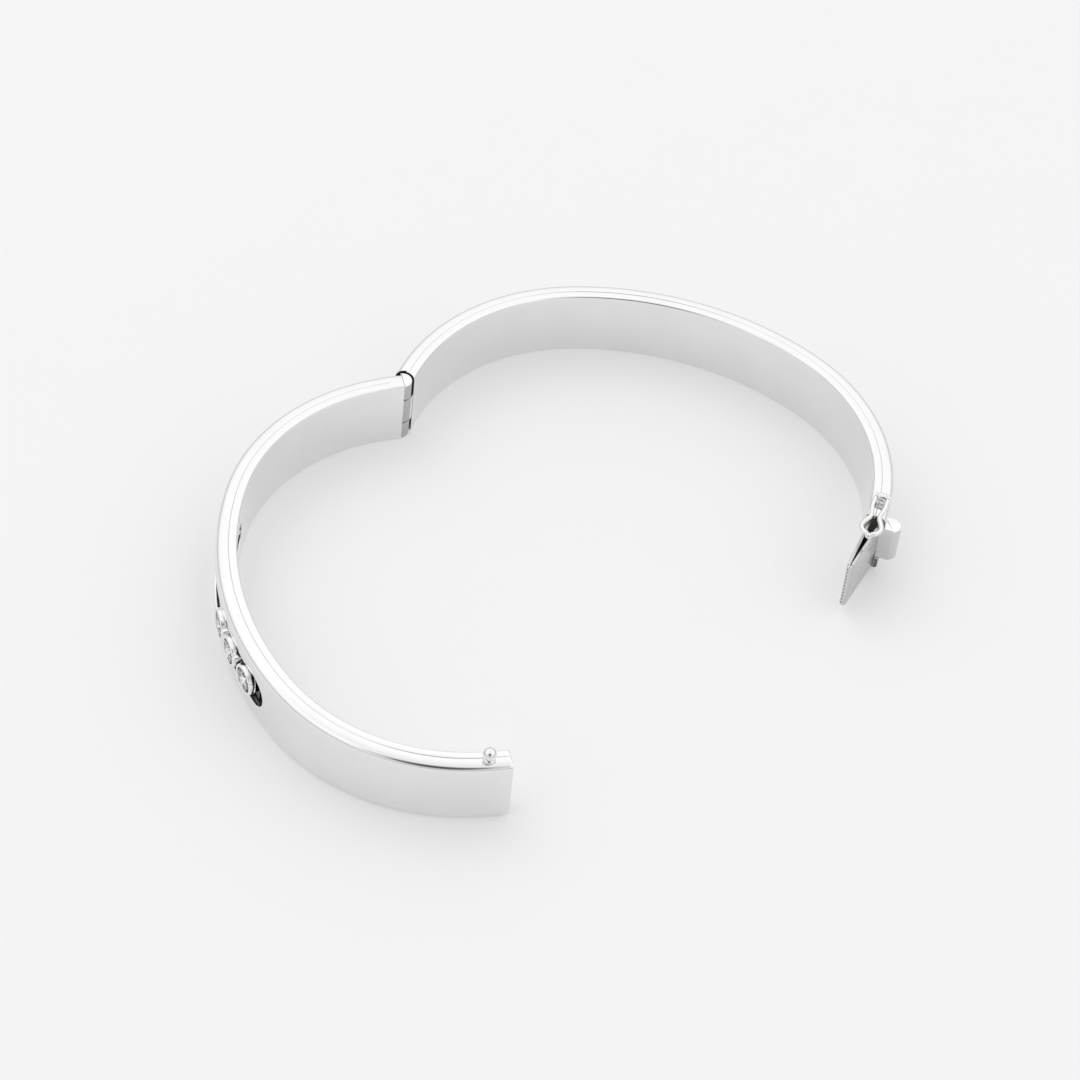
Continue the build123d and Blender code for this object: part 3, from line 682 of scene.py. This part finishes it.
back_shell = half_channel(
    1, shell_section, 0, crown, HOLLOW_OUT, notch=(NOTCH_LENGTH, NOTCH_HALF)
)
back_liner = half_channel(1, liner_section, 0, inner_face, HOLLOW_IN)
front_shell = half_channel(
    -1, shell_section, front_first, crown, HOLLOW_OUT, window=(SLOT_HALF, SLOT_END)
)
front_liner = half_channel(
    -1, liner_section, front_first, inner_face, HOLLOW_IN,
    window=(WINDOW_HALF, WINDOW_END), relief=RELIEF,
)
# the faces inside the hollow take the dark second finish: painted shade inside the tube, seen through the
# slot
finish_piece(
    "back_shell", back_shell, back_place, polished_gold, "back_half",
    ["back_outer_shell"], inside=in_hollow,
)
finish_piece(
    "back_liner", back_liner, back_place, polished_gold, "back_half",
    ["back_inner_liner"], inside=in_hollow,
)
finish_piece(
    "front_shell", front_shell, front_place, polished_gold, "front_half",
    ["front_outer_shell"], inside=in_hollow,
)
finish_piece(
    "front_liner", front_liner, front_place, polished_gold, "front_half",
    ["front_inner_liner"], inside=in_hollow,
)

# %% [markdown]
# ## The hinge
# Each half ends in a short solid block. The front half carries the lower and the upper knuckle, the
# back half the middle one, and each block is hollowed where the other half's knuckles turn. The
# blocks are the band's full section, cut by a round seat: that cut is small and meets simple faces,
# so a boolean is the shortest way. The knuckles are plates with rounded rims. They have no bore,
# because the pin's ends are polished flush with them and nothing of it shows.

# %% Hinge blocks
KNUCKLE, SEAT, KNUCKLE_RIM = 1.13, 1.55, 0.10
CLOSE_SEAT, LOOSE_SEAT = 1.16, 1.36      # on the wrist side: round a knuckle, and past the other half
LOW_KNUCKLE, MIDDLE_KNUCKLE, HIGH_KNUCKLE = (0.04, 2.45), (2.60, 6.20), (6.35, 8.76)
MIDDLE_SEAT = (2.52, 6.28)
SIDE_SKIN, BLOCK_STEPS = 0.3, 8          # within the skin, a block keeps its side faces' finish


def section_corners():
    """The whole band's section with both shoulders and both inner edges rounded."""
    seam, shoulder, face_start = (SEAM, -MID), (SHOULDER_U, -SHOULDER_W), (crown(ROWS[0]), ROWS[0])
    low = [Vector(seam)] + rounded_corner(seam, shoulder, face_start, SHOULDER_ROUND, 10)
    inner = rounded_corner((-HALF_T, 0), (-HALF_T, -MID), seam, INNER_ROUND, 5)
    high = [Vector((p.x, -p.y)) for p in reversed(inner + low)]
    return inner + low + [Vector((crown(w), w)) for w in ROWS] + high


def solid_between(side, turns):
    """The full section carried between two angles, closed at both ends."""
    outline = section_corners()
    points, rings = [], []
    for turn in turns:
        rings.append(list(range(len(points), len(points) + len(outline))))
        points += [on_band(side, (0, 0, END_RADIUS, turn), p.x, p.y) for p in outline]
    return points, ring_faces(rings) + [tuple(rings[0]), tuple(rings[-1])]


def cut_away(shape, cutters):
    """The shape with each cutter taken out by an exact boolean; gives points and faces again."""
    stock_pieces = []
    for number, part in enumerate([shape] + cutters):
        mesh = bpy.data.meshes.new(f"stock_{number}")
        mesh.from_pydata([tuple(p) for p in part[0]], [], part[1])
        tidy = bmesh.new()
        tidy.from_mesh(mesh)
        bmesh.ops.recalc_face_normals(tidy, faces=tidy.faces)
        tidy.to_mesh(mesh)
        tidy.free()
        stock_pieces.append(link(f"stock_{number}", mesh))
    stock = stock_pieces[0]
    for cutter in stock_pieces[1:]:
        cut = stock.modifiers.new("cut", "BOOLEAN")
        cut.operation, cut.solver, cut.object = "DIFFERENCE", "EXACT", cutter
    result = stock.evaluated_get(bpy.context.evaluated_depsgraph_get()).to_mesh()
    made = [v.co.copy() for v in result.vertices], [tuple(f.vertices) for f in result.polygons]
    for piece in stock_pieces:
        bpy.data.objects.remove(piece)
    return made


def seat(wrist_side, low, high):
    """An upright cutter on the hinge axis: wide on the outer side, closer on the wrist's side."""
    outline = circle(SEAT, 48, 90, 180) + circle(wrist_side, 48, 270, 180)
    shape = plate(outline, low, high, 0.001, steps=1)
    return moved(shape, Matrix.Translation((HINGE_X, 0, 0)))


def knuckle(side, low, high, reach=0.05):
    """A barrel whose flat back reaches a hair past the hinge's plane, towards its own block."""
    outline = circle(KNUCKLE, 40, 180, 180) + [Vector((KNUCKLE, reach)), Vector((-KNUCKLE, reach))]
    outline = [Vector((p.x, p.y * side)) for p in outline]
    return moved(plate(outline, low, high, KNUCKLE_RIM), Matrix.Translation((HINGE_X, 0, 0)))


block_turns = [180 - BLOCK_TURN + BLOCK_TURN * i / BLOCK_STEPS for i in range(BLOCK_STEPS + 1)]
back_block = cut_away(
    solid_between(1, block_turns),
    [seat(LOOSE_SEAT, -1, MIDDLE_SEAT[0]), seat(LOOSE_SEAT, MIDDLE_SEAT[1], 10)],
)
front_block = cut_away(solid_between(-1, block_turns), [seat(CLOSE_SEAT, *MIDDLE_SEAT)])


def in_seat(point):
    """Whether a face of a block is the hollow wall of a seat."""
    reach = Vector((point.x - HINGE_X, point.y)).length
    on_wall = min(abs(reach - radius) for radius in (SEAT, CLOSE_SEAT, LOOSE_SEAT)) < HAIR
    return on_wall and abs(point.z - MID) < MID - SIDE_SKIN


# the seat walls take the dark second finish: painted shade where the knuckles turn
finish_piece(
    "back_hinge_end", back_block, back_place, polished_gold, "back_half",
    ["back_hinge_block"], inside=in_seat,
)
finish_piece(
    "front_hinge_end", front_block, front_place, polished_gold, "front_half",
    ["front_hinge_block"], inside=in_seat,
)
finish_piece(
    "middle_knuckle", knuckle(1, *MIDDLE_KNUCKLE), back_place, brushed_gold,
    "back_half",
)


def on_side_face(point):
    """Whether a face lies on the bangle's lower or upper side, rim included."""
    return abs(point.z - MID) > MID - 0.20


for name, levels in (("lower_knuckle", LOW_KNUCKLE), ("upper_knuckle", HIGH_KNUCKLE)):
    finish_piece(
        name, knuckle(-1, *levels), front_place, brushed_gold, "front_half",
        inside=on_side_face, second=polished_gold,
    )

# %% [markdown]
# ## The snap tongue and its button
# The tongue is one strip of spring, folded back on itself: the inner leaf is soldered to the end
# plate, and the outer leaf springs out and ends in a narrow neck with the push button. A ribbon that
# follows the line of the strip gives the fold its true roundness. The ribbon's height changes at the
# shoulders, where the wide leaf becomes the neck.

# %% Ribbon
def ribbon(line, half_heights, thickness, edge=0.07):
    """A strip that stands on its edge along a line in plan, with rounded corners and closed ends."""
    half = thickness / 2
    points, rings = [], []
    for i, here in enumerate(line):
        ahead = line[min(i + 1, len(line) - 1)] - line[max(i - 1, 0)]
        across = Vector((ahead.y, -ahead.x)).normalized()
        h = half_heights[i]
        corners = [(-half, -h, edge), (half, -h, edge), (half, h, edge), (-half, h, edge)]
        outline = rounded_outline(corners, 4)
        rings.append(list(range(len(points), len(points) + len(outline))))
        for p in outline:
            points.append(Vector((here.x + across.x * p.x, here.y + across.y * p.x, MID + p.y)))
    return points, ring_faces(rings) + [tuple(reversed(rings[0])), tuple(rings[-1])]


LEAF, TONGUE_HALF, NECK_HALF = 0.35, 3.35, 1.80
FOLD_X, FOLD_Y, FOLD_LINE, FOLD_STEPS = 27.97, -7.50, 0.195, 12
FOLD_HALF = TONGUE_HALF - 0.10           # the fold's ends are filed back a little
LEAF_STEPS = 6

root, tip = Vector((28.325, 0.0)), Vector((FOLD_X - FOLD_LINE, FOLD_Y))
inner_line = [root.lerp(tip, i / LEAF_STEPS) for i in range(LEAF_STEPS + 1)]
for i in range(1, FOLD_STEPS + 1):
    a = radians(180 + 180 * i / FOLD_STEPS)
    inner_line.append(Vector((FOLD_X + FOLD_LINE * cos(a), FOLD_Y + FOLD_LINE * sin(a))))
inner_heights = [TONGUE_HALF] * LEAF_STEPS + [TONGUE_HALF - 0.04] + [FOLD_HALF] * FOLD_STEPS
finish_piece(
    "inner_leaf", ribbon(inner_line, inner_heights, LEAF),
    back_place, spring_gold, "back_half", ["snap_inner_leaf"],
)

# %% [markdown]
# The outside of the fold carries a row of tiny marks that read as dark dots. They could be a bump in the
# finish, but a bump has no outline of its own, so they are small domes sunk into the strip, set by one step
# along its height, and they take the dark finish that paints shade in the recesses.

# %% Row of domes on the fold
DOME, DOME_COUNT, DOME_SPAN = 0.10, 11, 5.6
DOME_X, DOME_Y = FOLD_X - 0.16, FOLD_Y - 0.30     # on the fold's round, towards the wrist

dome_turns = [radians(a) for a in range(-60, 61, 20)]
dome_profile = [(0, -DOME), *((DOME * cos(a), DOME * sin(a)) for a in dome_turns), (0, DOME)]
dome_heights = [MID - DOME_SPAN / 2 + DOME_SPAN * i / (DOME_COUNT - 1) for i in range(DOME_COUNT)]
dome = turned(dome_profile, 12)
domes = joined(*[moved(dome, Matrix.Translation((DOME_X, DOME_Y, z))) for z in dome_heights])
finish_piece("fold_domes", domes, back_place, painted_shade_gold, "back_half")

# %% Outer leaf and neck
NECK_X, SHOULDER_Y, NECK_END_Y, OUTER_STEPS = 29.425, -0.50, 2.30, 8
outer_tip, shoulder = Vector((28.17, -7.42)), Vector((NECK_X, SHOULDER_Y))
neck_end = Vector((NECK_X, NECK_END_Y))
outer_line = [outer_tip.lerp(shoulder, i / OUTER_STEPS) for i in range(OUTER_STEPS + 1)]
outer_line += [shoulder + Vector((0, 0.01)), shoulder.lerp(neck_end, 0.5), neck_end]
outer_heights = [FOLD_HALF] + [TONGUE_HALF] * OUTER_STEPS + [NECK_HALF] * 3
finish_piece(
    "outer_leaf", ribbon(outer_line, outer_heights, LEAF),
    back_place, spring_gold, "snap_button", ["snap_outer_leaf"],
)

# %% Push button
BUTTON_LOW, BUTTON_HIGH = 0.15, 2.40     # along the band
BUTTON_BACK, BUTTON_BELLY, BUTTON_REACH = 29.60, 31.20, 31.95
BUTTON_HALF, BUTTON_RIM = 2.45, 0.16
BACK_CUT, BELLY_ROUND = 0.02, 0.22       # small cuts at the back, and round corners at the belly

belly_middle = (BUTTON_LOW + BUTTON_HIGH) / 2
half_chord, rise = (BUTTON_HIGH - BUTTON_LOW) / 2, BUTTON_REACH - BUTTON_BELLY
belly_radius = (half_chord**2 + rise**2) / (2 * rise)
belly_turn = degrees(asin(half_chord / belly_radius))
belly = [
    p + Vector((BUTTON_REACH - belly_radius, belly_middle))
    for p in circle(belly_radius, 20, -belly_turn, 2 * belly_turn)
]
low_back, low_belly = (BUTTON_BACK, BUTTON_LOW), (BUTTON_BELLY, BUTTON_LOW)
low_corner = rounded_corner(low_back, low_belly, belly[3], BELLY_ROUND, 6)
high_corner = [Vector((p.x, 2 * belly_middle - p.y)) for p in reversed(low_corner)]
button_back = [
    Vector((BUTTON_BACK + BACK_CUT, BUTTON_HIGH)), Vector((BUTTON_BACK, BUTTON_HIGH - BACK_CUT)),
    Vector((BUTTON_BACK, BUTTON_LOW + BACK_CUT)), Vector((BUTTON_BACK + BACK_CUT, BUTTON_LOW)),
]
button_plan = button_back + low_corner + belly[5:-5] + high_corner
button_cap = plate(button_plan, MID - BUTTON_HALF, MID + BUTTON_HALF, BUTTON_RIM, steps=5)


def on_button_end(point):
    """Whether a face lies on the button's upper or lower end, rim included."""
    return abs(point.z - MID) > BUTTON_HALF - BUTTON_RIM + HAIR


# the button's sides take the darker satin copy, painted shade; its two ends stay polished
finish_piece(
    "push_button_cap", button_cap, back_place, satin_painted_shade_gold, "snap_button",
    ["push_button"], inside=on_button_end, second=polished_gold,
)

# %% [markdown]
# ## The safety loop
# A figure of eight in round wire turns on a small tube on the back half and drops over a ball on the
# front half. Wire that is soldered has soft fillets where it meets. The loop is put together from
# two mirrored lengths of bent wire, a small tab and two cheeks, and a fine voxel remesh melts them
# into one skin, which a few smoothing passes leave as softly joined as solder does. It is done in
# millimetres, where the voxels are a handy size.

# %% Ball stud
STUD = (28.892, -2.50)
STUD_NECK, BALL, BALL_RISE, BALL_STEPS = 0.40, 0.79, 0.86, 18

stud_profile = [(0, -0.40), (0.43, -0.40), (0.43, 0.01)]                        # root, in the band
stud_profile += [(0.66, 0.01), (0.70, 0.05), (0.69, 0.12), (0.60, 0.24)]        # foot
stud_profile += [(0.44, 0.33), (STUD_NECK, 0.37)]
low_turn = -degrees(acos(STUD_NECK / BALL))
for i in range(BALL_STEPS + 1):
    a = radians(low_turn + (90 - low_turn) * i / BALL_STEPS)
    stud_profile.append((max(0, BALL * cos(a)), BALL_RISE + BALL * sin(a)))
finish_piece(
    "stud", turned(stud_profile, 64), front_place @ Matrix.Translation((*STUD, 2 * MID)),
    polished_gold, "front_half", ["ball_stud"], crease=50,
)


# %% Wire loop
def melted(shape, voxel, smooth_steps):
    """The parts of a shape as one skin, by voxel remesh and smoothing."""
    mesh = bpy.data.meshes.new("stock")
    mesh.from_pydata([tuple(p) for p in shape[0]], [], shape[1])
    stock = link("stock", mesh)
    skin = stock.modifiers.new("skin", "REMESH")
    skin.mode, skin.voxel_size = "VOXEL", voxel
    soften = stock.modifiers.new("soften", "SMOOTH")
    soften.factor, soften.iterations = 0.5, smooth_steps
    result = stock.evaluated_get(bpy.context.evaluated_depsgraph_get()).to_mesh()
    made = [v.co.copy() for v in result.vertices], [tuple(f.vertices) for f in result.polygons]
    bpy.data.objects.remove(stock)
    return made


LOOP_X, LOOP_Y, LOOP_Z = 28.90, 2.50, 9.45
WIRE, EYE, ARM, NIP = 0.29, 1.14, 0.74, 0.50      # wire's radius, eye, arms and pinched waist
CHEEK, CHEEK_HALF, TAB = 0.45, 0.20, 0.40
VOXEL = 0.04

half_loop = [(ARM, LOOP_Y), (ARM, 1.75), (ARM + 0.03, 1.15), (ARM - 0.02, 0.55), (NIP + 0.08, 0.0)]
half_loop += [(NIP, -0.55), (NIP + 0.06, -1.02), (0.80, -1.45)]
for degree in range(25, -91, -13):
    half_loop.append((EYE * cos(radians(degree)), STUD[1] + EYE * sin(radians(degree))))
loop_curve = bpy.data.curves.new("loop_line", "CURVE")
loop_curve.dimensions = "3D"
loop_curve.resolution_u = 6
for side in (1, -1):
    spline = loop_curve.splines.new("NURBS")
    spline.points.add(len(half_loop) - 1)
    for knot, (x, y) in zip(spline.points, half_loop):
        knot.co = (side * x, y, 0, 1)
    spline.order_u = 3
    spline.use_endpoint_u = True
loop_curve.bevel_depth = WIRE
loop_curve.bevel_resolution = 5
loop_curve.use_fill_caps = True
loop_line = bpy.data.objects.new("loop_line", loop_curve)
drawn = loop_line.to_mesh()
wires = [v.co.copy() for v in drawn.vertices], [tuple(f.vertices) for f in drawn.polygons]
bpy.data.objects.remove(loop_line)

across = Matrix.Rotation(pi / 2, 4, "Y")
cheek = moved(plate(circle(CHEEK, 32), -CHEEK_HALF, CHEEK_HALF, 0.08), across)
cheeks = [moved(cheek, Matrix.Translation((x, LOOP_Y, 0))) for x in (ARM, -ARM)]
tab_turns = [radians(a) for a in range(-90, 91, 10)]
tab = turned([(TAB * cos(a), TAB * sin(a)) for a in tab_turns], 24)
tab = moved(tab, Matrix.Translation((0, STUD[1] - EYE - 0.30, 0)))
finish_piece(
    "wire_loop", melted(joined(wires, tab, *cheeks), VOXEL, 4),
    back_place @ Matrix.Translation((LOOP_X, 0, LOOP_Z)),
    polished_gold, "safety_catch", ["safety_loop"], crease=180,
)

# %% Pin and tube that the loop turns on
LUG, LUG_HALF, LUG_BORE, LUG_FOOT, LUG_DROP = 0.52, 0.46, 0.27, 0.40, 0.86

pin_end = [(0.25, 0.85), (0.22, 0.92), (0.14, 0.97), (0, 0.98)]
pin_profile = [(radius, -height) for radius, height in reversed(pin_end)] + pin_end
at_lug = Matrix.Translation((LOOP_X, LOOP_Y, LOOP_Z))
finish_piece(
    "loop_pin", moved(turned(pin_profile, 32), at_lug @ across),
    back_place, polished_gold, "safety_catch", ["safety_pin"],
)
lug_plan = circle(LUG, 40, -35, 250)
lug_plan += [Vector((-LUG_FOOT, -LUG_DROP)), Vector((LUG_FOOT, -LUG_DROP))]
upright = Matrix(((0, 0, 1, 0), (1, 0, 0, 0), (0, 1, 0, 0), (0, 0, 0, 1)))
lug = plate(lug_plan, -LUG_HALF, LUG_HALF, 0.07, bore=LUG_BORE)
finish_piece(
    "lug_tube", moved(lug, at_lug @ upright),
    back_place, polished_gold, "back_half", ["safety_lug"],
)

# %% [markdown]
# ## Bezels and stones
# Each bezel is a turned cup with a bright rolled rim that stands proud of the band, on a guide plate
# that is wider than the slot. A turned profile is all it takes. The stone is a true brilliant: a
# table, stars, kites and halves above the girdle, mains and halves below it. The facets are laid out
# from their own rules, so that every kite is flat, and they are left unsmoothed so that each one
# flashes on its own.

# %% Stone of 57 facets
STONE, TABLE, CROWN_RISE, PAVILION, GIRDLE_HALF = 1.60, 0.88, 0.50, 1.33, 0.03
STAR_TIP, LOWER_TIP = 1.22, 0.40


def brilliant():
    """Points and flat facets of a round brilliant about the z axis, girdle at z = 0."""
    step = pi / 8
    star_rise = CROWN_RISE * (STONE - STAR_TIP * cos(step)) / (STONE - TABLE)
    lower_drop = PAVILION * (1 - LOWER_TIP * cos(step) / STONE)
    points = [Vector((0, 0, -GIRDLE_HALF - PAVILION))]

    def ring(radius, height, count, shift):
        first = len(points)
        for k in range(count):
            a = 2 * pi * (k + shift) / count
            points.append(Vector((radius * cos(a), radius * sin(a), height)))
        return [first + k for k in range(count)]

    corner = ring(TABLE, GIRDLE_HALF + CROWN_RISE, 8, 0)
    star = ring(STAR_TIP, GIRDLE_HALF + star_rise, 8, 0.5)
    top = ring(STONE, GIRDLE_HALF, 16, 0)
    low = ring(STONE, -GIRDLE_HALF, 16, 0)
    belly_tip = ring(LOWER_TIP, -GIRDLE_HALF - lower_drop, 8, 0.5)
    facets = [tuple(corner)]
    for k in range(8):
        after, before = (k + 1) % 8, (k - 1) % 8
        a, mid, b = 2 * k, 2 * k + 1, (2 * k + 2) % 16
        facets.append((corner[k], corner[after], star[k]))
        facets.append((corner[k], star[before], top[a], star[k]))
        facets += [(star[k], top[a], top[mid]), (star[k], top[mid], top[b])]
        facets += [(top[a], low[a], low[mid], top[mid]), (top[mid], low[mid], low[b], top[b])]
        facets += [(belly_tip[k], low[mid], low[a]), (belly_tip[k], low[b], low[mid])]
        facets.append((0, belly_tip[before], low[a], belly_tip[k]))
    return points, facets


stone_shape = brilliant()
print("facets with the girdle:", len(stone_shape[1]))

# %% Cups, guides and the three stones
CUP, RIM, GIRDLE, BORE = 1.86, 1.70, 1.25, 1.10
GUIDE_X, GUIDE_Y, GUIDE_ROUND, GUIDE_LOW, GUIDE_HIGH = 1.85, 2.70, 0.6, 0.05, 0.50
STONE_TURNS, TWIST = (2.2, 8.3, 14.9), 11

cup_profile = rounded_outline([
    (CUP, GUIDE_LOW, 0), (CUP, RIM, 0.17),
    (STONE - 0.13, RIM, 0.09), (STONE - 0.10, GIRDLE + 0.12, 0.03),
    (STONE + 0.03, GIRDLE + 0.06, 0), (STONE + 0.03, GIRDLE - 0.08, 0),
    (BORE, GIRDLE - 0.53, 0.05), (BORE, GUIDE_LOW, 0),
])
guide_plan = rounded_outline([
    (side_x * GUIDE_X, side_y * GUIDE_Y, GUIDE_ROUND)
    for side_x, side_y in ((-1, -1), (1, -1), (1, 1), (-1, 1))
])
guide_shape = plate(guide_plan, GUIDE_LOW, GUIDE_HIGH, 0.05, bore=BORE)
for number, turn in enumerate(STONE_TURNS, start=1):
    a = radians(turn)
    stone_place = front_place @ Matrix((
        (cos(a), 0, sin(a), FLAT_RADIUS * sin(a)),
        (sin(a), 0, -cos(a), FLAT_CENTRE - FLAT_RADIUS * cos(a)),
        (0, 1, 0, MID),
        (0, 0, 0, 1),
    ))
    body = f"stone_{number}"
    finish_piece(
        f"cup_{number}", turned(cup_profile, 96), stone_place,
        bright_cut_gold, body, [f"bezel_{number}"],
    )
    # the guide plate takes the dark finish: painted shade in the gaps between the bezels
    finish_piece(f"guide_{number}", guide_shape, stone_place, painted_shade_gold, body)
    twist = Matrix.Translation((0, 0, GIRDLE)) @ Matrix.Rotation(radians(TWIST * number), 4, "Z")
    finish_piece(
        f"brilliant_{number}", stone_shape, stone_place @ twist,
        stone_clear, body, [f"diamond_{number}"], crease=1,
    )

# %% [markdown]
# ## Small parts that keep their working shape
# The hinge pin, the end plate and the catch plates inside the mouth are simple shapes already, and little
# of them shows. They keep the model's own mesh and take a finish: the pin is polished, and the plates take
# the dark finish, painted shade inside the mouth.

# %% Finish the parts that are kept
for node, finish in (
    ("hinge_pin", polished_gold),
    ("back_end_plate", painted_shade_gold), ("front_catch_plates", painted_shade_gold),
):
    kept = frame["nodes"][node]
    kept.data.materials.clear()
    kept.data.materials.append(finish)
    print("kept", node)
